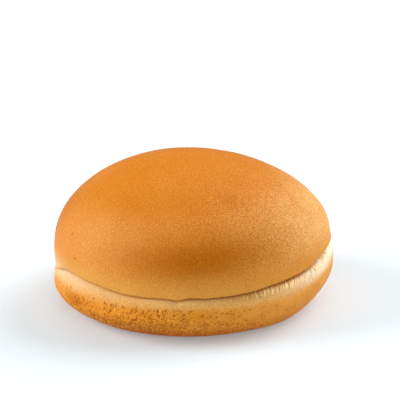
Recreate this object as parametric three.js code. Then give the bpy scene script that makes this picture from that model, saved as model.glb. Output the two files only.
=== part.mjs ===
// A brioche burger bun, baked whole and not sliced, in millimetres, +Z up.
// It is one piece of bread: a pan-flat base, a low heel with a bulging side, a crease all the way round,
// and a domed crown that overhangs the crease. The crown leans towards -X, so the heel is thicker at +X.
// At -X the crown's lip has slumped over the heel, and at +X it has lifted off it.
// The origin is the middle of the bun's box, on the surface that the base rests on.
import * as THREE from "three";
import { mergeVertices } from "three/addons/utils/BufferGeometryUtils.js";

// Driving dimensions.
const HEEL_RADIUS = 55;          // widest part of the heel
const HEEL_BULGE_HEIGHT = 11.6;  // height of that widest part, on average
const HEEL_BULGE_RISE = 4;       // how much higher it is at +X, and lower at -X
const FOOT_RADIUS = 42.8;        // edge of the flat base
const CREASE_HEIGHT = 19.6;      // height of the fold between heel and crown, on average
const CREASE_DEPTH = 3.9;        // how far the fold goes in from the crown's side
const CROWN_RADIUS = 54.3;       // widest part of the crown
const CROWN_HEIGHT = 38.2;       // crease to top
const LIP_HEIGHT = 5.7;          // crease to the crown's widest part
const CROWN_TILT = THREE.MathUtils.degToRad(3.4);
const CROWN_LEAN = 4.5;          // how far the top has slumped to -X
const CROWN_SHIFT = 0.7;         // the crown's rim sits this far to +X of the heel

// How far the dough is from a body of revolution. Directions are in degrees anticlockwise from +X.
const LOBES = 0.011;             // seen from above the bun is faintly three-cornered, by this share of its radius
const LOBE_DIRECTION = -12;
const CREASE_TWIST = 0.7;        // the fold rises and falls twice on its way round
const CREASE_WAVE = 1.1;         // and three times
const SLUMP = { direction: 186, spread: 12.5, drop: 3.4, swelling: 0.85, swellingHeight: 7 };
const LIFT = { direction: 2, spread: 19, rise: 2.3 };

// How square each rounded corner of the outline is: 0 is a straight bevel, 0.55 a quarter ellipse, 1 a square.
const FOOT_SQUARENESS = 0.33;
const SHOULDER_SQUARENESS = 0.8;
const LIP_SQUARENESS = 0.88;
const DOME_SQUARENESS = 0.53;

// Facets.
const TURNS = 88;                // round the bun
const FOOT_STEPS = 7;            // base edge to bulge
const SHOULDER_STEPS = 6;        // bulge to crease
const LIP_STEPS = 6;             // crease to the crown's widest part
const DOME_STEPS = 17;           // from there to the top

const CREASE_RADIUS = CROWN_RADIUS - CREASE_DEPTH;

// 1 in a direction round the bun, falling smoothly to 0 beyond about twice the spread, all in degrees.
function near(turn, direction, spread) {
  const away = turn - THREE.MathUtils.degToRad(direction);
  const nearest = Math.atan2(Math.sin(away), Math.cos(away));
  return Math.exp(-((THREE.MathUtils.radToDeg(nearest) / spread) ** 2));
}

// Points from one place to another round the corner between them, without the first one.
function roundCorner(from, corner, to, squareness, steps) {
  const leave = from.clone().lerp(corner, squareness);
  const arrive = to.clone().lerp(corner, squareness);
  return new THREE.CubicBezierCurve(from, leave, arrive, to).getPoints(steps).slice(1);
}

// The bun's outline from the middle of the base to the top, as (radius, height), as if it were perfectly round.
function outline() {
  const at = (radius, height) => new THREE.Vector2(radius, height);
  const lipTop = CREASE_HEIGHT + LIP_HEIGHT;
  const crownTop = CREASE_HEIGHT + CROWN_HEIGHT;
  const foot = at(FOOT_RADIUS, 0);
  const bulge = at(HEEL_RADIUS, HEEL_BULGE_HEIGHT);
  const crease = at(CREASE_RADIUS, CREASE_HEIGHT);
  const side = at(CROWN_RADIUS, lipTop);
  const top = at(0, crownTop);
  return [
    at(0, 0),
    foot,
    ...roundCorner(foot, at(HEEL_RADIUS, 0), bulge, FOOT_SQUARENESS, FOOT_STEPS),
    ...roundCorner(bulge, at(HEEL_RADIUS, CREASE_HEIGHT), crease, SHOULDER_SQUARENESS, SHOULDER_STEPS),
    ...roundCorner(crease, at(CROWN_RADIUS, CREASE_HEIGHT), side, LIP_SQUARENESS, LIP_STEPS),
    ...roundCorner(side, at(CROWN_RADIUS, crownTop), top, DOME_SQUARENESS, DOME_STEPS),
  ];
}

// How much larger than a circle the bun is in a direction, seen from above.
function lobe(turn) {
  return 1 + LOBES * Math.cos(3 * (turn - THREE.MathUtils.degToRad(LOBE_DIRECTION)));
}

// Moves a point of the round crown to where it is on the bun. The top leans to -X, the whole crown tilts,
// and its lower edge rises and falls on the way round, slumps at -X and lifts at +X, which all fades out
// towards the top. Where it slumps it swells over the heel.
function placeCrown(point) {
  const turn = Math.atan2(point.y, point.x);
  const above = point.z - CREASE_HEIGHT;
  const share = Math.min(above / CROWN_HEIGHT, 1);
  const slumped = near(turn, SLUMP.direction, SLUMP.spread);
  const lifted = near(turn, LIFT.direction, LIFT.spread);
  const swelling = SLUMP.swelling * slumped * Math.exp(-((above / SLUMP.swellingHeight) ** 2));
  const larger = lobe(turn) + swelling / CROWN_RADIUS;
  const wave = CREASE_TWIST * Math.sin(2 * turn) - CREASE_WAVE * Math.sin(3 * turn);
  const x = point.x * larger + CROWN_SHIFT - CROWN_LEAN * share;
  const z = above + wave * (1 - share) ** 2 + (LIFT.rise * lifted - SLUMP.drop * slumped) * (1 - share) ** 3;
  point.y *= larger;
  point.x = x * Math.cos(CROWN_TILT) - z * Math.sin(CROWN_TILT);
  point.z = CREASE_HEIGHT + x * Math.sin(CROWN_TILT) + z * Math.cos(CROWN_TILT);
}

// Moves a point of the round heel. Below its bulge the heel is stretched to the bulge's own height on that side.
// Above the bulge it is carried over to the crease, which goes where the crown takes it.
function placeHeel(point) {
  const turn = Math.atan2(point.y, point.x);
  const bulgeHeight = HEEL_BULGE_HEIGHT + HEEL_BULGE_RISE * Math.cos(turn);
  if (point.z <= HEEL_BULGE_HEIGHT) {
    point.x *= lobe(turn);
    point.y *= lobe(turn);
    point.z *= bulgeHeight / HEEL_BULGE_HEIGHT;
    return;
  }
  const ring = (radius, height) => new THREE.Vector3(radius * Math.cos(turn), radius * Math.sin(turn), height);
  const bulge = ring(HEEL_RADIUS * lobe(turn), bulgeHeight);
  const crease = ring(CREASE_RADIUS, CREASE_HEIGHT);
  placeCrown(crease);
  const outward = (Math.hypot(point.x, point.y) - CREASE_RADIUS) / (HEEL_RADIUS - CREASE_RADIUS);
  const upward = (point.z - HEEL_BULGE_HEIGHT) / (CREASE_HEIGHT - HEEL_BULGE_HEIGHT);
  point.x = THREE.MathUtils.lerp(crease.x, bulge.x, outward);
  point.y = THREE.MathUtils.lerp(crease.y, bulge.y, outward);
  point.z = THREE.MathUtils.lerp(bulge.z, crease.z, upward);
}

function bunGeometry() {
  const turned = new THREE.LatheGeometry(outline(), TURNS);
  turned.rotateX(Math.PI / 2);
  turned.deleteAttribute("normal");
  turned.deleteAttribute("uv");
  const position = turned.getAttribute("position");
  const point = new THREE.Vector3();
  const creaseBand = 1e-3; // the ring at the crease itself counts as crown
  for (let i = 0; i < position.count; i++) {
    point.fromBufferAttribute(position, i);
    if (point.z > CREASE_HEIGHT - creaseBand) placeCrown(point);
    else placeHeel(point);
    position.setXYZ(i, point.x, point.y, point.z);
  }
  turned.computeBoundingBox();
  const middle = turned.boundingBox.getCenter(new THREE.Vector3());
  turned.translate(-middle.x, -middle.y, 0);
  const geometry = mergeVertices(turned, 1e-3);
  geometry.computeVertexNormals();
  return geometry;
}

function bun() {
  const crust = new THREE.MeshStandardMaterial({ color: 0xd98a33, roughness: 0.5, metalness: 0 });
  const mesh = new THREE.Mesh(bunGeometry(), crust);
  mesh.name = "brioche_bun";
  return mesh;
}

const brioche = new THREE.Group();
brioche.add(bun());

export default brioche;
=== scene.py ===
import math

import bpy
import numpy as np
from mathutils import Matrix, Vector, kdtree, noise


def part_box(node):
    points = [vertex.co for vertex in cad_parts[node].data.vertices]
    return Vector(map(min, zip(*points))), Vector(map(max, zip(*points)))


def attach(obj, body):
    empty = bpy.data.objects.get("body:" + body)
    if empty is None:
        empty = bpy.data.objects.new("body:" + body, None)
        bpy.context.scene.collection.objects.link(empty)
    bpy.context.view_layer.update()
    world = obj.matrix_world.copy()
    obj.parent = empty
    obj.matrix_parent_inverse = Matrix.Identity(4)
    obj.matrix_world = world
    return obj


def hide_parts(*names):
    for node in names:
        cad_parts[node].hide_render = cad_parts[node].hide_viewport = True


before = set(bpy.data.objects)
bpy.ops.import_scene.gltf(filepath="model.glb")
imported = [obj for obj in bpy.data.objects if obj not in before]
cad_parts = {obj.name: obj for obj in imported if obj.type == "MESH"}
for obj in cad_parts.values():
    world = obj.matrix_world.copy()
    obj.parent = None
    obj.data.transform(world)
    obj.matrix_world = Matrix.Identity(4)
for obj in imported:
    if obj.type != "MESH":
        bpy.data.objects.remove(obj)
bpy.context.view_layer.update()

# The CAD box, before anything is added. Lengths are in metres, and MM turns millimetres into them.
LOW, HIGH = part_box("brioche_bun")
MM = 0.001
RADIUS = (HIGH.x - LOW.x) / 2
HEIGHT = HIGH.z - LOW.z

# The bun's large shape, as shares of the CAD solid's size. It is the same shape as the CAD solid has.
HEEL_RADIUS = RADIUS
BULGE_HEIGHT = 0.201 * HEIGHT
BULGE_RISE = 0.069 * HEIGHT
FOOT_RADIUS = 0.778 * RADIUS
CREASE_HEIGHT = 0.340 * HEIGHT
CREASE_DEPTH = 0.071 * RADIUS
CROWN_RADIUS = 0.987 * RADIUS
CROWN_HEIGHT = 0.663 * HEIGHT
LIP_HEIGHT = 0.099 * HEIGHT
CROWN_TILT = math.radians(3.4)
CROWN_LEAN = 0.082 * RADIUS
CROWN_SHIFT = 0.013 * RADIUS

# How far the dough is from a body of revolution: its three faint lobes as seen from above, the rise and
# fall of the crease, the lip's slump over the heel at -X, which fills most of the crease there, and its
# lift off the heel at +X.
LOBES = 0.011
LOBE_DIRECTION = math.radians(-12)
CREASE_TWIST = 0.013 * RADIUS
CREASE_WAVE = 0.020 * RADIUS
SLUMP_DIRECTION, SLUMP_SPREAD = 186, 12.5
SLUMP_DROP = 0.062 * RADIUS
SLUMP_SWELLING = 0.0155 * RADIUS
SWELLING_HEIGHT = 0.127 * RADIUS
SLUMP_FILLING = 0.90
LIFT_DIRECTION, LIFT_SPREAD = 2, 19
LIFT_RISE = 0.042 * RADIUS

# Where the middle of the bun's box is in the frame that its shape is worked out in.
MIDDLE_OF_SHAPE = np.array((0.0089 * RADIUS, 0.0065 * RADIUS, 0))

# Powers of the superellipse that rounds each corner: 2 is an ellipse, and more is squarer.
FOOT_POWER = 1.47
SHOULDER_POWER = 3.8
LIP_POWER = 5.8
DOME_POWER = 1.92

# Directions round the bun, in degrees anticlockwise from +X as seen from above. The front is -Y.
RIGHT, BACK, LEFT, FRONT = 0, 90, 180, 270

# How the mesh is spread: more columns where the detail is, and closest together at the front.
FRONT_CROWDING = 0.35
ZONES = (
    # section, from and to (shares of its length), ring spacing, columns
    ("base", 0.00, 0.08, 1.2 * MM, 16),
    ("base", 0.08, 0.20, 1.6 * MM, 32),
    ("base", 0.20, 0.45, 2.2 * MM, 64),
    ("base", 0.45, 0.85, 2.4 * MM, 128),
    ("base", 0.85, 0.95, 1.6 * MM, 256),
    ("base", 0.95, 1.00, 0.9 * MM, 512),
    ("foot", 0.00, 1.00, 0.62 * MM, 1024),
    ("shoulder", 0.00, 0.30, 0.52 * MM, 1024),
    ("shoulder", 0.30, 0.85, 0.48 * MM, 2048),
    ("shoulder", 0.85, 1.00, 0.50 * MM, 1024),
    ("lip", 0.00, 0.55, 0.40 * MM, 1024),
    ("lip", 0.55, 1.00, 0.70 * MM, 512),
    ("dome", 0.00, 0.20, 1.00 * MM, 512),
    ("dome", 0.20, 0.72, 1.30 * MM, 256),
    ("dome", 0.72, 0.87, 1.40 * MM, 128),
    ("dome", 0.87, 0.95, 1.40 * MM, 64),
    ("dome", 0.95, 1.00, 1.20 * MM, 32),
)

# The larger open pores of the heel: how many, their least and greatest radius, and the deepest one's depth.
PIT_COUNT = 2800
PIT_REACH = (0.30 * MM, 0.58 * MM)
PIT_DEPTH = 0.35 * MM

# Distance between the fine pleats of the pale band, and how high they stand.
PLEAT_PERIOD = 1.8 * MM
PLEAT_HEIGHT = 0.15 * MM

# The burnt flecks on the crown, as directions round the bun and distances from the crease.
FLECKS = ((LEFT + 31, 22 * MM), (LEFT + 37, 12.6 * MM))

# The share of the lip's rise that the heel under it takes part in.
HEEL_FOLLOWING = 0.4


def smooth(low, high, value):
    """0 below low, 1 above high, and a smooth step between them."""
    share = np.clip((value - low) / (high - low), 0, 1)
    return share * share * (3 - 2 * share)


def near(turn, direction, spread):
    """1 in a direction round the bun, in degrees, and falling to 0 beyond about twice the spread."""
    away = np.degrees(np.angle(np.exp(1j * (turn - math.radians(direction)))))
    return np.exp(-((away / spread) ** 2))


def hump(value, middle, reach):
    """1 where the value is at its middle, and falling to 0 beyond about twice the reach on either side."""
    return np.exp(-(((value - middle) / reach) ** 2))


def perlin(points, size, seed):
    """Smooth noise from -1 to 1 at each point, with lumps of about that size."""
    shift = Vector((seed * 13.7, seed * 7.3, seed * 3.1))
    return np.array([noise.noise(Vector(p) / size + shift) for p in points.tolist()])


def round_corner(start, corner, end, power):
    """Closely spaced points from start to end, round the corner between them."""
    angle = np.linspace(0, math.pi / 2, 500)[:, None]
    leaving = np.sin(angle) ** (2 / power)
    arriving = 1 - np.abs(np.cos(angle)) ** (2 / power)
    start, corner, end = map(np.array, (start, corner, end))
    return start + (corner - start) * leaving + (end - corner) * arriving


def outline():
    """The sections of the bun's outline, from the middle of the base to the top, as (radius, height)."""
    foot = (FOOT_RADIUS, 0)
    bulge = (HEEL_RADIUS, BULGE_HEIGHT)
    crease = (CROWN_RADIUS - CREASE_DEPTH, CREASE_HEIGHT)
    side = (CROWN_RADIUS, CREASE_HEIGHT + LIP_HEIGHT)
    top = (0, CREASE_HEIGHT + CROWN_HEIGHT)
    return {
        "base": np.linspace((0, 0), foot, 500),
        "foot": round_corner(foot, (HEEL_RADIUS, 0), bulge, FOOT_POWER),
        "shoulder": round_corner(bulge, (HEEL_RADIUS, CREASE_HEIGHT), crease, SHOULDER_POWER),
        "lip": round_corner(crease, (CROWN_RADIUS, CREASE_HEIGHT), side, LIP_POWER),
        "dome": round_corner(side, (CROWN_RADIUS, CREASE_HEIGHT + CROWN_HEIGHT), top, DOME_POWER),
    }


def distances_along(points):
    """How far along a line of points each of them is."""
    steps = np.hypot(*np.diff(points, axis=0).T)
    return np.r_[0, np.cumsum(steps)]


def rings():
    """Each ring's (section, radius, height, distance along the outline from the crease, columns)."""
    sections = outline()
    lengths = {name: distances_along(points) for name, points in sections.items()}
    to_crease = sum(lengths[name][-1] for name in ("base", "foot", "shoulder"))
    section_lengths = [along[-1] for along in lengths.values()]
    starts = dict(zip(sections, np.cumsum([0] + section_lengths)))
    made = []
    for name, share_from, share_to, spacing, columns in ZONES:
        along, points = lengths[name], sections[name]
        first, last = share_from * along[-1], share_to * along[-1]
        count = max(1, round((last - first) / spacing))
        for distance in np.linspace(first, last, count + 1)[1:]:
            radius = np.interp(distance, along, points[:, 0])
            height = np.interp(distance, along, points[:, 1])
            made.append((name, radius, height, starts[name] + distance - to_crease, columns))
    return made


def turns(columns):
    """The direction of each column, in radians, closer together at the front."""
    even = np.arange(columns) * (2 * math.pi / columns)
    return even - FRONT_CROWDING * np.sin(even - math.radians(FRONT))


def lobe(turn):
    """How much larger than a circle the bun is in a direction, seen from above."""
    return 1 + LOBES * np.cos(3 * (turn - LOBE_DIRECTION))


def place_crown(radius, height, turn):
    """The round crown's point, leant to -X, tilted, and with a lower edge that rises, falls and slumps."""
    above = height - CREASE_HEIGHT
    share = np.clip(above / CROWN_HEIGHT, 0, 1)
    slumped = near(turn, SLUMP_DIRECTION, SLUMP_SPREAD)
    lifted = near(turn, LIFT_DIRECTION, LIFT_SPREAD)
    swelling = SLUMP_SWELLING * slumped * math.exp(-((above / SWELLING_HEIGHT) ** 2))
    if above < LIP_HEIGHT:
        radius = CROWN_RADIUS - (CROWN_RADIUS - radius) * (1 - SLUMP_FILLING * slumped)
    larger = lobe(turn) + swelling / CROWN_RADIUS
    wave = CREASE_TWIST * np.sin(2 * turn) - CREASE_WAVE * np.sin(3 * turn)
    x = radius * larger * np.cos(turn) + CROWN_SHIFT - CROWN_LEAN * share
    z = above + wave * (1 - share) ** 2 + (LIFT_RISE * lifted - SLUMP_DROP * slumped) * (1 - share) ** 3
    return np.stack((
        x * math.cos(CROWN_TILT) - z * math.sin(CROWN_TILT),
        radius * larger * np.sin(turn),
        CREASE_HEIGHT + x * math.sin(CROWN_TILT) + z * math.cos(CROWN_TILT),
    ), axis=1)


def place_heel(radius, height, turn):
    """The round heel's point, with its bulge higher at +X, and its shoulder carried over to the crease."""
    bulge_height = BULGE_HEIGHT + BULGE_RISE * np.cos(turn)
    across, along = lobe(turn) * np.cos(turn), lobe(turn) * np.sin(turn)
    if height <= BULGE_HEIGHT:
        return np.stack((radius * across, radius * along, height / BULGE_HEIGHT * bulge_height), axis=1)
    crease_radius = CROWN_RADIUS - CREASE_DEPTH
    crease = place_crown(crease_radius, CREASE_HEIGHT, turn)
    bulge = np.stack((HEEL_RADIUS * across, HEEL_RADIUS * along, bulge_height), axis=1)
    outward = (radius - crease_radius) / (HEEL_RADIUS - crease_radius)
    upward = (height - BULGE_HEIGHT) / (CREASE_HEIGHT - BULGE_HEIGHT)
    level = crease + (bulge - crease) * outward
    level[:, 2] = bulge_height + (crease[:, 2] - bulge_height) * upward
    return level


def stitch(first, columns, next_first, next_columns):
    """Faces between two rings, where the next one has as many columns, twice as many or half as many."""
    i = np.arange(min(columns, next_columns))
    if columns == next_columns:
        j = (i + 1) % columns
        return np.stack((first + i, first + j, next_first + j, next_first + i), axis=1).tolist()
    if next_columns == 2 * columns:
        j = (i + 1) % columns
        a, b = first + i, first + j
        c, d, e = next_first + 2 * i, next_first + 2 * i + 1, next_first + (2 * i + 2) % next_columns
        faces = ((a, d, c), (a, b, d), (b, e, d))
    else:
        j = (i + 1) % next_columns
        a, b = next_first + i, next_first + j
        c, d, e = first + 2 * i, first + 2 * i + 1, first + (2 * i + 2) % columns
        faces = ((c, d, a), (d, b, a), (d, e, b))
    return np.concatenate([np.stack(face, axis=1) for face in faces]).tolist()


def bun_mesh():
    """The bun's large shape as a mesh, with each point's direction and its distance from the crease."""
    points, turn_of, away_of, faces = [np.zeros((1, 3))], [np.zeros(1)], [np.zeros(1)], []
    first, columns = 1, None
    for section, radius, height, away, next_columns in rings():
        if radius < 0.01 * MM:
            break
        turn = turns(next_columns)
        place = place_heel if section in ("base", "foot", "shoulder") else place_crown
        points.append(place(radius, height, turn))
        turn_of.append(turn)
        away_of.append(np.full(next_columns, away))
        if columns is None:
            i = np.arange(next_columns)
            faces += np.stack((np.zeros_like(i), 1 + (i + 1) % next_columns, 1 + i), axis=1).tolist()
            next_first = 1
        else:
            next_first = first + columns
            faces += stitch(first, columns, next_first, next_columns)
        first, columns = next_first, next_columns
    top = first + columns
    i = np.arange(columns)
    faces += np.stack((first + i, first + (i + 1) % columns, np.full_like(i, top)), axis=1).tolist()
    points.append(place_crown(0, CREASE_HEIGHT + CROWN_HEIGHT, np.zeros(1)))
    turn_of.append(np.zeros(1))
    away_of.append(np.full(1, away))
    points = np.concatenate(points)
    points -= MIDDLE_OF_SHAPE
    mesh = bpy.data.meshes.new("brioche_crust")
    mesh.from_pydata(points.tolist(), [], faces)
    mesh.validate()
    away = np.concatenate(away_of)
    away[0] = away[1]
    return mesh, np.concatenate(turn_of), away


def read_points(mesh):
    flat = np.empty(len(mesh.vertices) * 3)
    mesh.vertices.foreach_get("co", flat)
    return flat.reshape(-1, 3)


def read_normals(mesh):
    return np.array([v.vector for v in mesh.vertex_normals])


def write_points(mesh, points):
    mesh.vertices.foreach_set("co", points.ravel())
    mesh.update()


def write_mask(mesh, name, values):
    mesh.attributes.new(name, "FLOAT", "POINT").data.foreach_set("value", values.astype(np.float32))


# ---- The crust's relief ----

def swell(points, turn, away):
    """Soft rises and hollows of the baked dough, with two dents at the crown's right and a bulging heel."""
    on_crown = smooth(0, 8 * MM, away)
    on_heel = smooth(0, 4 * MM, -away)
    broad = perlin(points, 26 * MM, 1) * 0.24 * MM + perlin(points, 9 * MM, 2) * 0.09 * MM
    lumpy = perlin(points, 13 * MM, 3) * 0.24 * MM + perlin(points, 4.5 * MM, 4) * 0.11 * MM
    dent = near(turn, RIGHT + 10, 3) * hump(away, 24.5 * MM, 2.5 * MM) * 1.1 * MM
    dent += near(turn, RIGHT + 3, 13) * hump(away, 6 * MM, 4 * MM) * 0.7 * MM
    bulge = near(turn, FRONT + 44, 14) * smooth(9 * MM, 13 * MM, -away) * 0.6 * MM
    return (broad - dent) * on_crown + (lumpy + bulge) * on_heel


def round_the_bun(turn):
    """Each point's place on a flat ring as wide as the bun, for noise that only changes with direction."""
    return np.stack((np.cos(turn), np.sin(turn), np.zeros_like(turn)), axis=1) * RADIUS


def ragged_lip(turn, away):
    """How far the crown's lip and the heel under it go up or down, where the lip is uneven, torn or lifted.

    Where the lip goes down it pushes the heel down with it, and where it goes up the heel follows less.
    """
    ring = round_the_bun(turn)
    uneven = perlin(ring, 9 * MM, 5) * 0.25 * MM + perlin(ring, 3 * MM, 6) * 0.14 * MM
    uneven += 0.4 * MM * near(turn, FRONT - 62, 9) - 0.7 * MM * near(turn, FRONT - 28, 11)
    lifted = 1.5 * MM * near(turn, RIGHT - 16, 11) + 1.1 * MM * near(turn, RIGHT - 27, 7)
    tear = 0.65 * MM * near(turn, FRONT - 1, 4)
    tear -= 0.5 * MM * near(turn, FRONT - 7, 2) + 0.3 * MM * near(turn, FRONT + 4, 2)
    crown_step = uneven + tear + lifted
    heel_step = np.where(crown_step < 0, crown_step, HEEL_FOLLOWING * crown_step)
    both = 0.6 * MM * near(turn, FRONT - 45, 45)
    on_crown = 1 - smooth(CREASE_DEPTH + 0.5 * MM, CREASE_DEPTH + 5 * MM, away)
    on_heel = 1 - smooth(CREASE_DEPTH, CREASE_DEPTH + 5 * MM, -away)
    return np.where(away >= 0, (crown_step + both) * on_crown, (heel_step + both) * on_heel)


def band_width(turn):
    """How far the pale band reaches down from the crease."""
    return 5.6 * MM + 2.4 * MM * near(turn, RIGHT - 50, 28) + 1.2 * MM * near(turn, BACK + 20, 40)


def wrinkles(turn, away):
    """Fine upright pleats in the pale band, from -1 in their sharp valleys to 1 on their broad tops."""
    flow = round_the_bun(turn) + np.array((0, 0, 0.3)) * away[:, None]
    drift = 3.0 * perlin(flow, 3.0 * MM, 7) + 1.1 * perlin(flow, 1.0 * MM, 8)
    folds = np.abs(np.cos(turn * RADIUS / PLEAT_PERIOD * math.pi + drift))
    depth = np.clip(0.8 + 1.2 * perlin(flow, 1.8 * MM, 11), 0.1, 1)
    return (2 * folds ** 0.7 - 1) * depth


def wrinkle_strength(turn, away):
    """How strong the pleats are: most at the right and just under the lip, and ending unevenly below."""
    down = -away
    reach = band_width(turn) * (1 + 0.35 * perlin(round_the_bun(turn), 1.6 * MM, 10))
    where = near(turn, RIGHT - 35, 25) + 0.35 * near(turn, BACK, 60) + 0.10
    fringe = 1 - 0.85 * smooth(CREASE_DEPTH + 0.6 * MM, CREASE_DEPTH + 3.2 * MM, down)
    starting = smooth(0.2 * MM, 1.0 * MM, down)
    ending = 1 - smooth(0.7, 1.15, down / reach)
    return np.clip(where, 0, 1) * fringe * starting * ending


def porous(points, turn, away):
    """How full of open pores the heel is, from 0 to 1: most at the front left, the back and the base."""
    side = near(turn, LEFT + 62, 40) + 0.75 * near(turn, BACK + 5, 42) + 0.10
    below_band = smooth(0.9, 1.6, -away / band_width(turn))
    low_down = 0.35 + 0.65 * (1 - smooth(4 * MM, 12 * MM, points[:, 2]))
    patchy = np.clip(0.9 + 0.6 * perlin(points, 6 * MM, 9), 0.3, 1.2)
    return np.clip(side * below_band * low_down * patchy, 0, 1)


def pits(points, turn, crowd, rng):
    """Depth of the larger open pores in the heel, from 0 to 1."""
    tree = kdtree.KDTree(len(points))
    for i, p in enumerate(points.tolist()):
        tree.insert(p, i)
    tree.balance()
    depth = np.zeros(len(points))
    heel = np.flatnonzero((crowd > 0.05) & (points[:, 2] > 0.6 * MM))
    # The columns stand closer together at the front, so each point there stands for less crust.
    column_share = 1 - FRONT_CROWDING * np.cos(turn[heel] - math.radians(FRONT))
    weight = crowd[heel] * column_share
    for i in rng.choice(heel, size=PIT_COUNT, replace=False, p=weight / weight.sum()):
        reach = rng.uniform(*PIT_REACH)
        deep = rng.uniform(0.35, 1.0)
        for _, j, distance in tree.find_range(Vector(points[i]), reach):
            depth[j] = max(depth[j], deep * (1 - smooth(0.2, 1.0, distance / reach)))
    return depth


def paint_band(mesh, turn, down):
    """Where the pale band under the crease is, where it is creamy, where painted shade from the lip's
    overhang darkens it, and the glow below it.
    """
    reach = down / band_width(turn)
    pale = (1 - smooth(0.55, 1.5, reach)) * smooth(-0.3 * MM, 0.1 * MM, down)
    glow = near(turn, RIGHT - 42, 34) * (1 - smooth(1, 2.6, reach)) * smooth(0, 2 * MM, down)
    # Painted shade: the band is darkened just under the lip, where the lip's overhang shades it.
    lip_shade = near(turn, FRONT + 22, 15) * (1 - smooth(4 * MM, 8.5 * MM, down))
    lip_shade += 0.3 * near(turn, FRONT - 38, 24)
    creamy = near(turn, RIGHT - 8, 26)
    cream = creamy * (2 - creamy)
    cream += 0.25 * near(turn, LEFT + 25, 22) + 0.6 * near(turn, BACK, 35)
    write_mask(mesh, "pale", pale)
    write_mask(mesh, "glow", glow)
    write_mask(mesh, "lip_shade", lip_shade)
    write_mask(mesh, "cream", cream)


def paint_lip(mesh, turn, away):
    """Where the crown's paler rim and its puffy slump at -X are, and where painted shade darkens the slit
    under its lip.
    """
    rim = (1 - 0.45 * near(turn, RIGHT - 40, 32)) * (1 - smooth(3 * MM, 15 * MM, away))
    puff = near(turn, SLUMP_DIRECTION + 4, 14) * (1 - smooth(4 * MM, 13 * MM, away))
    slit_foot = CREASE_DEPTH + (0.3 + 0.25 * near(turn, RIGHT - 47, 15)) * MM
    under_lip = 1 - smooth(-1.2 * MM, 0, -away - slit_foot)
    under_lip *= smooth(-3.4 * MM, -2.8 * MM, -away)
    darkness = 0.06 + 0.94 * near(turn, RIGHT - 47, 18)
    closed = near(turn, LEFT + 4, 18)
    write_mask(mesh, "rim", rim)
    write_mask(mesh, "puff", puff)
    # Painted shade: the slit under the lip is darkened, most at the right, and not where the crease is
    # closed at -X.
    write_mask(mesh, "slit_shade", under_lip * darkness * (1 - closed))


def paint_heel(mesh, points, turn, down):
    """Where the heel is, where it is darker towards the base, and its one brown spot at the left."""
    bulge_height = BULGE_HEIGHT + BULGE_RISE * np.cos(turn)
    low = 1 - smooth(0.20, 0.62, points[:, 2] / bulge_height)
    outer = smooth(20 * MM, 42 * MM, np.hypot(points[:, 0], points[:, 1]))
    spared = near(turn, FRONT + 35, 22) * outer
    bruise = near(turn, LEFT + 36, 8) * hump(down, 9.5 * MM, 2 * MM)
    write_mask(mesh, "heel", smooth(0, 0.8 * MM, down))
    write_mask(mesh, "low", low * (1 - 0.75 * spared))
    write_mask(mesh, "bruise", bruise)


def paint_crown(mesh, points, turn, away):
    """Where the crown is browner, where painted shade darkens its front, its far side and its left edge,
    where painted sheen makes two sides paler, and where its grain is coarser and broken into painted
    glints. The sides' differences fade out towards the top.
    """
    # Partly browner crust and partly painted shade: a patch at the front, where less light falls.
    browned_and_shaded = near(turn, FRONT + 4, 33) * hump(away, 17.5 * MM, 8.5 * MM)
    browned_and_shaded += 0.15 * near(turn, FRONT, 50) * hump(away, 40 * MM, 9 * MM)
    browned_and_shaded += 0.35 * near(turn, FRONT + 32, 7) * hump(away, 40 * MM, 4 * MM)
    # Painted shade: the far side, seen as the crown's top edge, and the left edge are darkened where they
    # turn away from the light.
    browned_and_shaded += 0.55 * smooth(3 * MM, 24 * MM, points[:, 1]) * smooth(10 * MM, 25 * MM, away)
    left_edge = near(turn, LEFT - 3, 18) * smooth(8 * MM, 18 * MM, away)
    browned_and_shaded += 0.5 * left_edge * (1 - smooth(26 * MM, 46 * MM, away))
    # Painted sheen: the right side and the front left are painted paler where a broad soft highlight falls.
    right_sheen = near(turn, RIGHT - 12, 48) * smooth(4 * MM, 14 * MM, away)
    right_sheen *= 1 - smooth(21 * MM, 46 * MM, away)
    front_left_sheen = 0.36 * near(turn, LEFT + 48, 34) * (1 - smooth(26 * MM, 42 * MM, away))
    # Stronger grain at the right, where its pale tops also stand in for a sheen broken up by the grain.
    one_sided = 0.2 + 0.8 * near(turn, RIGHT - 30, 62)
    all_round = 0.45
    coarse_and_glinting = one_sided + (all_round - one_sided) * smooth(34 * MM, 58 * MM, away)
    write_mask(mesh, "browned_and_shaded", np.clip(browned_and_shaded, 0, 1))
    write_mask(mesh, "painted_sheen", right_sheen + front_left_sheen)
    write_mask(mesh, "summit", smooth(34 * MM, 60 * MM, away))
    write_mask(mesh, "coarse_and_glinting", coarse_and_glinting * smooth(4 * MM, 18 * MM, away))


def paint(mesh, points, turn, away):
    """Writes the masks by which the material knows where on the bun it is."""
    paint_band(mesh, turn, -away)
    paint_lip(mesh, turn, away)
    paint_heel(mesh, points, turn, -away)
    paint_crown(mesh, points, turn, away)


def burnt_flecks(points, turn, away):
    """The places of the tiny burnt flecks on the crown."""
    places = []
    for direction, distance in FLECKS:
        aside = np.angle(np.exp(1j * (turn - math.radians(direction)))) * RADIUS
        places.append(points[np.argmin(np.hypot(aside, away - distance))].tolist())
    return places


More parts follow.
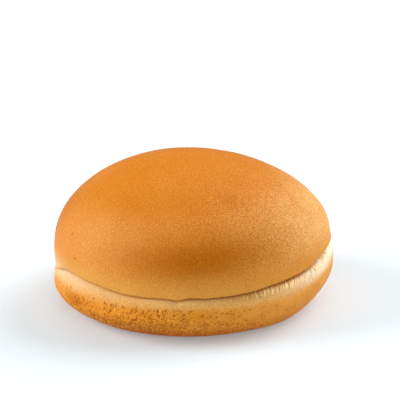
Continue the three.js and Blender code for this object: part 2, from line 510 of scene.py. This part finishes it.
def carve(mesh, turn, away):
    """Moves the mesh's points into the crust's relief, and keeps what the material needs as masks."""
    rng = np.random.default_rng(seed=7)
    points = read_points(mesh)
    points[:, 2] += ragged_lip(turn, away)
    write_points(mesh, points)
    normals = read_normals(mesh)
    pleats = wrinkles(turn, away) * wrinkle_strength(turn, away)
    crowd = porous(points, turn, away)
    pores = pits(points, turn, crowd, rng)
    lift = swell(points, turn, away) + pleats * PLEAT_HEIGHT - pores * PIT_DEPTH
    flat_base = smooth(0.2 * MM, 2.5 * MM, points[:, 2])
    points = points + normals * (lift * flat_base)[:, None]
    points[:, 2] = np.maximum(points[:, 2], 0)
    write_points(mesh, points)
    write_mask(mesh, "pore", pores)
    write_mask(mesh, "porous", crowd)
    write_mask(mesh, "pleat", pleats)
    paint(mesh, points, turn, away)
    return burnt_flecks(points, turn, away)


# ---- Materials ----

class Nodes:
    """Short calls that add nodes to a material and join them."""

    def __init__(self, name):
        self.material = bpy.data.materials.new(name)
        self.material.use_nodes = True
        self.tree = self.material.node_tree
        self.shader = self.tree.nodes["Principled BSDF"]

    def add(self, kind, inputs, output=0, **settings):
        node = self.tree.nodes.new(kind)
        for key, value in settings.items():
            setattr(node, key, value)
        for key, value in inputs.items():
            self.feed(node.inputs[key], value)
        return node.outputs[output]

    def feed(self, socket, value):
        if isinstance(value, bpy.types.NodeSocket):
            self.tree.links.new(value, socket)
        else:
            socket.default_value = value

    def place(self):
        return self.add("ShaderNodeTexCoord", {}, "Object")

    def mask(self, name):
        return self.add("ShaderNodeAttribute", {}, "Fac", attribute_name=name)

    def grain(self, size, detail=2.0, roughness=0.5):
        inputs = {"Vector": self.place(), "Scale": 1 / size, "Detail": detail, "Roughness": roughness}
        return self.add("ShaderNodeTexNoise", inputs, "Fac")

    def span(self, value, low, high, to_low=0.0, to_high=1.0):
        inputs = {"Value": value, "From Min": low, "From Max": high, "To Min": to_low, "To Max": to_high}
        return self.add("ShaderNodeMapRange", inputs)

    def maths(self, kind, a, b):
        return self.add("ShaderNodeMath", {0: a, 1: b}, operation=kind)

    def times(self, a, b):
        return self.maths("MULTIPLY", a, b)

    def mix(self, share, a, b, blend="MIX"):
        node = self.tree.nodes.new("ShaderNodeMix")
        node.data_type = "RGBA"
        node.blend_type = blend
        self.feed(node.inputs[0], share)
        self.feed(node.inputs[6], a)
        self.feed(node.inputs[7], b)
        return node.outputs[2]


# Colours of the crown: its crust, the browner summit and patches that also hold painted shade, the painted
# sheen on the sides, the rim and the slump.
GOLD = (0.60, 0.200, 0.017, 1)
AMBER = (0.56, 0.165, 0.006, 1)
BROWN_AND_SHADE = (0.42, 0.110, 0.0001, 1)
SHEEN_COLOUR = (0.70, 0.345, 0.092, 1)
RIM = (0.65, 0.298, 0.050, 1)
PUFF = (0.75, 0.480, 0.240, 1)

# Colours of the heel: the pale band and its creamy right, the crust below, the scorched flecks and the
# painted shade of pores, the base edge, the painted highlight on the pleats' tops, and the painted shade in
# their valleys and under the lip.
BEIGE = (0.70, 0.395, 0.125, 1)
CREAM = (0.98, 0.885, 0.655, 1)
HEEL = (0.70, 0.268, 0.026, 1)
TOASTED = (0.64, 0.220, 0.012, 1)
SCORCHED_AND_PORE_SHADE = (0.34, 0.066, 0.002, 1)
EDGE = (0.60, 0.130, 0.001, 1)
CREST_HIGHLIGHT = (0.96, 0.660, 0.290, 1)
PLEAT_SHADE = (0.40, 0.155, 0.018, 1)

# The painted shade of the slit under the lip, the pale specks and painted glints on the crown, and what the
# grain multiplies a colour by: painted shade in its hollows and painted sheen on its tops.
SLIT_SHADE = (0.38, 0.115, 0.003, 1)
SPECK_GLINT = (0.86, 0.560, 0.220, 1)
GRAIN_HOLLOW_SHADE = (0.72, 0.62, 0.30, 1)
GRAIN_TOP_SHEEN = (1.28, 1.42, 1.90, 1)

# Sizes of the fine things in the material that are too small for the mesh, and how far its bump goes.
GRAIN_SIZE = 0.55 * MM
SMALL_PORE_SIZE = 0.75 * MM
SPECK_GLINT_SIZE = 0.8 * MM
FLECK_RADII = (0.30 * MM, 0.65 * MM)
BUMP_HEIGHT = 0.22 * MM


def crown_colour(n):
    """Golden crust, browner on the summit and in soft patches that also hold painted shade, paler with
    painted sheen on two sides, and paler at the rim.
    """
    blotches = n.span(n.grain(15 * MM, 3), 0.35, 0.65, 0, 0.55)
    colour = n.mix(blotches, GOLD, AMBER)
    colour = n.mix(n.times(n.mask("summit"), 0.35), colour, AMBER)
    # Painted sheen: paler on two sides.
    painted_sheen = n.times(n.mask("painted_sheen"), n.span(n.grain(8 * MM, 3), 0.3, 0.7, 0.65, 1.1))
    colour = n.mix(painted_sheen, colour, SHEEN_COLOUR)
    # Browner crust together with painted shade.
    colour = n.mix(n.mask("browned_and_shaded"), colour, BROWN_AND_SHADE)
    rim = n.times(n.mask("rim"), n.span(n.grain(8 * MM), 0.3, 0.7, 0.7, 0.95))
    colour = n.mix(rim, colour, RIM)
    puff = n.times(n.mask("puff"), n.span(n.grain(3 * MM, 3), 0.3, 0.7, 0.5, 0.95))
    return n.mix(puff, colour, PUFF)


def heel_colour(n):
    """Golden crust with porous mottling, a pleated pale band under the crease with painted highlights on
    its pleats' tops and painted shade in their valleys and under the lip, and a darker base edge.
    """
    colour = n.mix(n.span(n.grain(6 * MM, 3), 0.35, 0.65), HEEL, TOASTED)
    mottle = n.times(n.mask("porous"), n.span(n.grain(0.8 * MM, 3, 0.65), 0.48, 0.60))
    colour = n.mix(n.times(mottle, 0.35), colour, SCORCHED_AND_PORE_SHADE)
    colour = n.mix(n.times(n.mask("bruise"), 0.75), colour, BROWN_AND_SHADE)
    band = n.mix(n.mask("cream"), BEIGE, CREAM)
    frayed = n.maths("ADD", n.mask("pale"), n.span(n.grain(1.4 * MM, 3, 0.6), 0.3, 0.7, -0.12, 0.12))
    in_band = n.times(n.span(n.mask("pale"), 0, 0.1), n.span(frayed, 0, 1))
    colour = n.mix(n.times(n.mask("glow"), 0.22), colour, BEIGE)
    colour = n.mix(in_band, colour, band)
    # Painted shade under the lip's overhang, in the pleats' dark colour.
    lip_shaded = n.times(n.times(n.mask("lip_shade"), in_band), 0.55)
    colour = n.mix(lip_shaded, colour, PLEAT_SHADE)
    # Painted highlight on the pleats' tops and painted shade in their valleys.
    colour = n.mix(n.span(n.mask("pleat"), 0.10, 0.50, 0, 0.85), colour, CREST_HIGHLIGHT)
    colour = n.mix(n.span(n.mask("pleat"), -0.38, 0, 0.85, 0), colour, PLEAT_SHADE)
    return n.mix(n.span(n.mask("low"), 0, 1, 0, 0.8), colour, EDGE)


def cells(n, size, place):
    """Distance from the middle of the nearest of many cells of that size, and that cell's random colour."""
    texture = n.tree.nodes.new("ShaderNodeTexVoronoi")
    n.feed(texture.inputs["Vector"], place)
    n.feed(texture.inputs["Scale"], 1 / size)
    luck = n.add("ShaderNodeSeparateColor", {"Color": texture.outputs["Color"]}, "Red")
    return texture.outputs["Distance"], luck


def small_pores(n):
    """1 in the middle of each small pore of the heel, where the heel is porous, and 0 elsewhere."""
    wobble_inputs = {"Vector": n.place(), "Scale": 1 / (0.9 * MM), "Detail": 2}
    wobble = n.add("ShaderNodeTexNoise", wobble_inputs, "Color")
    bent = n.add("ShaderNodeVectorMath", {0: wobble, "Scale": 0.7 * MM}, operation="SCALE")
    place = n.add("ShaderNodeVectorMath", {0: n.place(), 1: bent}, operation="ADD")
    middle, luck = cells(n, SMALL_PORE_SIZE, place)
    open_here = n.span(n.maths("SUBTRACT", n.mask("porous"), luck), -0.30, -0.05)
    open_here = n.times(open_here, n.span(n.mask("porous"), 0.03, 0.15))
    return n.times(open_here, n.span(middle, 0.16, 0.38, 1, 0))


def specks_and_glints(n):
    """1 on each tiny pale grain on the crown, partly a painted glint of a broken-up sheen, where its crust
    is coarse and not browned or shaded.
    """
    middle, luck = cells(n, SPECK_GLINT_SIZE, n.place())
    on_coarse_and_glinting = n.span(n.mask("coarse_and_glinting"), 0.2, 1, 0, 0.35)
    off_browned_and_shaded = n.span(n.mask("browned_and_shaded"), 0.1, 0.5, 1, 0)
    where = n.times(on_coarse_and_glinting, off_browned_and_shaded)
    chosen = n.span(n.maths("SUBTRACT", where, luck), 0, 0.05)
    return n.times(chosen, n.span(middle, 0.10, 0.35, 1, 0))


def grain_shade_and_sheen(n, grain):
    """The crust's leathery grain as a colour to multiply by: saturated in its hollows as painted shade,
    pale on its tops as painted sheen.
    """
    contrast = n.span(n.maths("MAXIMUM", n.mask("coarse_and_glinting"), n.mask("porous")), 0, 1, 1.3, 3.5)
    swing = n.times(n.maths("SUBTRACT", grain, 0.5), contrast)
    return n.mix(n.maths("ADD", swing, 0.5), GRAIN_HOLLOW_SHADE, GRAIN_TOP_SHEEN)


def crust_material(fleck_places):
    """Satin crust, duller in the pale band, with grain and pores in its colour and its bump. Its colour
    also holds painted shade in the slit, the pores and the grain's hollows, and painted sheen and glints.
    """
    n = Nodes("brioche_crust")
    heel = n.mask("heel")
    pores = n.maths("MAXIMUM", small_pores(n), n.mask("pore"))
    grain = n.grain(GRAIN_SIZE, 4, 0.65)
    colour = n.mix(heel, crown_colour(n), heel_colour(n))
    # Painted shade in the slit under the lip.
    colour = n.mix(n.span(n.mask("slit_shade"), 0, 1, 0, 0.85), colour, SLIT_SHADE)
    # The grain's tone, with painted shade in its hollows and painted sheen on its tops.
    colour = n.mix(1.0, colour, grain_shade_and_sheen(n, grain), "MULTIPLY")
    # Painted shade in the pores, darkest where they go deepest.
    colour = n.mix(n.span(pores, 0.05, 0.8, 0, 0.85), colour, SCORCHED_AND_PORE_SHADE)
    # Pale specks that are partly painted glints.
    colour = n.mix(n.times(specks_and_glints(n), 0.4), colour, SPECK_GLINT)
    for place in fleck_places:
        away = n.add("ShaderNodeVectorMath", {0: n.place(), 1: place}, "Value", operation="DISTANCE")
        colour = n.mix(n.span(away, *FLECK_RADII, 0.8, 0), colour, SCORCHED_AND_PORE_SHADE)
    n.feed(n.shader.inputs["Base Color"], colour)

    rough = n.span(n.grain(1.2 * MM, 2), 0.3, 0.7, 0.44, 0.56)
    rough = n.maths("ADD", rough, n.span(n.mask("pale"), 0, 1, 0, 0.2))
    n.feed(n.shader.inputs["Roughness"], rough)
    n.shader.inputs["Specular IOR Level"].default_value = 0.06
    n.shader.inputs["Subsurface Weight"].default_value = 0.05
    n.shader.inputs["Subsurface Radius"].default_value = (1.0, 0.45, 0.15)
    n.shader.inputs["Subsurface Scale"].default_value = 0.8 * MM

    relief = n.maths("SUBTRACT", grain, n.times(pores, 0.8))
    bump = n.add("ShaderNodeBump", {"Strength": 0.9, "Distance": BUMP_HEIGHT, "Height": relief}, "Normal")
    n.feed(n.shader.inputs["Normal"], bump)
    return n.material


def floor_material():
    """A pale table top that glows a little, so that the shadows on it stay pale."""
    n = Nodes("pale_floor")
    n.shader.inputs["Base Color"].default_value = (0.61, 0.65, 0.675, 1)
    n.shader.inputs["Roughness"].default_value = 0.9
    n.shader.inputs["Specular IOR Level"].default_value = 0.1
    n.shader.inputs["Emission Color"].default_value = (0.84, 1, 1.08, 1)
    n.shader.inputs["Emission Strength"].default_value = 0.20
    return n.material


# ---- The pieces, the lights and the camera ----

SOFTBOXES = (
    # name, direction, height and spread in degrees, strength
    ("softbox_left", LEFT, 24, 45, 3.15),
    ("softbox_right", RIGHT + 28, 31, 60, 3.5),
    ("softbox_behind", BACK, 50, 50, 0.45),
    ("softbox_above", BACK, 85, 90, 0.55),
    ("fill_in_front", FRONT, 20, 60, 1.25),
)
ROOM_BRIGHTNESS = 0.05
BACKDROP_BRIGHTNESS = 1.1

# The camera's elevation and its distance from the point it watches, how wide the view is at that point,
# and the width of the camera's sensor in millimetres.
CAMERA_ELEVATION = math.radians(20)
CAMERA_DISTANCE = 0.70
VIEW_WIDTH = 2.876 * RADIUS
SENSOR_WIDTH = 36

# The point near the bun's middle that the camera is placed from. The camera aims to the right of it and
# above it.
WATCHED = Vector((-0.0089 * RADIUS, -0.0065 * RADIUS, 0.434 * HEIGHT))
AIM_RIGHT = 0.055 * RADIUS
AIM_UP = 0.251 * RADIUS


def make_bun():
    mesh, turn, away = bun_mesh()
    fleck_places = carve(mesh, turn, away)
    mesh.shade_smooth()
    mesh.materials.append(crust_material(fleck_places))
    bun = bpy.data.objects.new("brioche_crust", mesh)
    bpy.context.scene.collection.objects.link(bun)
    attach(bun, "root")
    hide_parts("brioche_bun")


def make_floor():
    reach = 12.0  # metres from the bun to each edge
    mesh = bpy.data.meshes.new("floor")
    corners = [(-reach, -reach, 0), (reach, -reach, 0), (reach, reach, 0), (-reach, reach, 0)]
    mesh.from_pydata(corners, [], [(0, 1, 2, 3)])
    mesh.materials.append(floor_material())
    floor = bpy.data.objects.new("floor", mesh)
    bpy.context.scene.collection.objects.link(floor)


def soft_light(name, direction, height, spread, strength):
    """A far softbox, with its direction round the bun, height above the floor and spread in degrees."""
    light = bpy.data.lights.new(name, "SUN")
    light.energy = strength
    light.angle = math.radians(spread)
    lamp = bpy.data.objects.new(name, light)
    turn, up = math.radians(direction), math.radians(height)
    towards = Vector((math.cos(turn) * math.cos(up), math.sin(turn) * math.cos(up), math.sin(up)))
    lamp.rotation_mode = "QUATERNION"
    lamp.rotation_quaternion = towards.to_track_quat("Z", "Y")
    bpy.context.scene.collection.objects.link(lamp)


def make_lights():
    """A strong softbox on either side, and weaker ones behind, above and in front."""
    for softbox in SOFTBOXES:
        soft_light(*softbox)


def make_surroundings():
    """A dim room to light the bun, behind which the camera sees plain white."""
    world = bpy.data.worlds.new("studio")
    world.use_nodes = True
    tree = world.node_tree
    room = tree.nodes["Background"]
    room.inputs["Color"].default_value = (1, 1, 1, 1)
    room.inputs["Strength"].default_value = ROOM_BRIGHTNESS
    white = tree.nodes.new("ShaderNodeBackground")
    white.inputs["Color"].default_value = (1, 1, 1, 1)
    white.inputs["Strength"].default_value = BACKDROP_BRIGHTNESS
    seen = tree.nodes.new("ShaderNodeLightPath")
    choose = tree.nodes.new("ShaderNodeMixShader")
    tree.links.new(seen.outputs["Is Camera Ray"], choose.inputs[0])
    tree.links.new(room.outputs[0], choose.inputs[1])
    tree.links.new(white.outputs[0], choose.inputs[2])
    tree.links.new(choose.outputs[0], tree.nodes["World Output"].inputs["Surface"])
    bpy.context.scene.world = world


def make_camera():
    """Looks down at the bun's front, with the bun a little left of the middle of the view and below it."""
    back = Vector((0, -math.cos(CAMERA_ELEVATION), math.sin(CAMERA_ELEVATION)))
    up = Vector((0, math.sin(CAMERA_ELEVATION), math.cos(CAMERA_ELEVATION)))
    aim = WATCHED + Vector((AIM_RIGHT, 0, 0)) + up * AIM_UP
    data = bpy.data.cameras.new("camera")
    data.sensor_width = SENSOR_WIDTH
    data.lens = data.sensor_width * CAMERA_DISTANCE / VIEW_WIDTH
    camera = bpy.data.objects.new("camera", data)
    camera.location = WATCHED + back * CAMERA_DISTANCE
    camera.rotation_mode = "QUATERNION"
    camera.rotation_quaternion = (aim - camera.location).to_track_quat("-Z", "Y")
    bpy.context.scene.collection.objects.link(camera)
    bpy.context.scene.camera = camera


make_camera()
make_surroundings()
make_lights()
make_floor()
make_bun()
bpy.context.scene.view_settings.view_transform = "Standard"
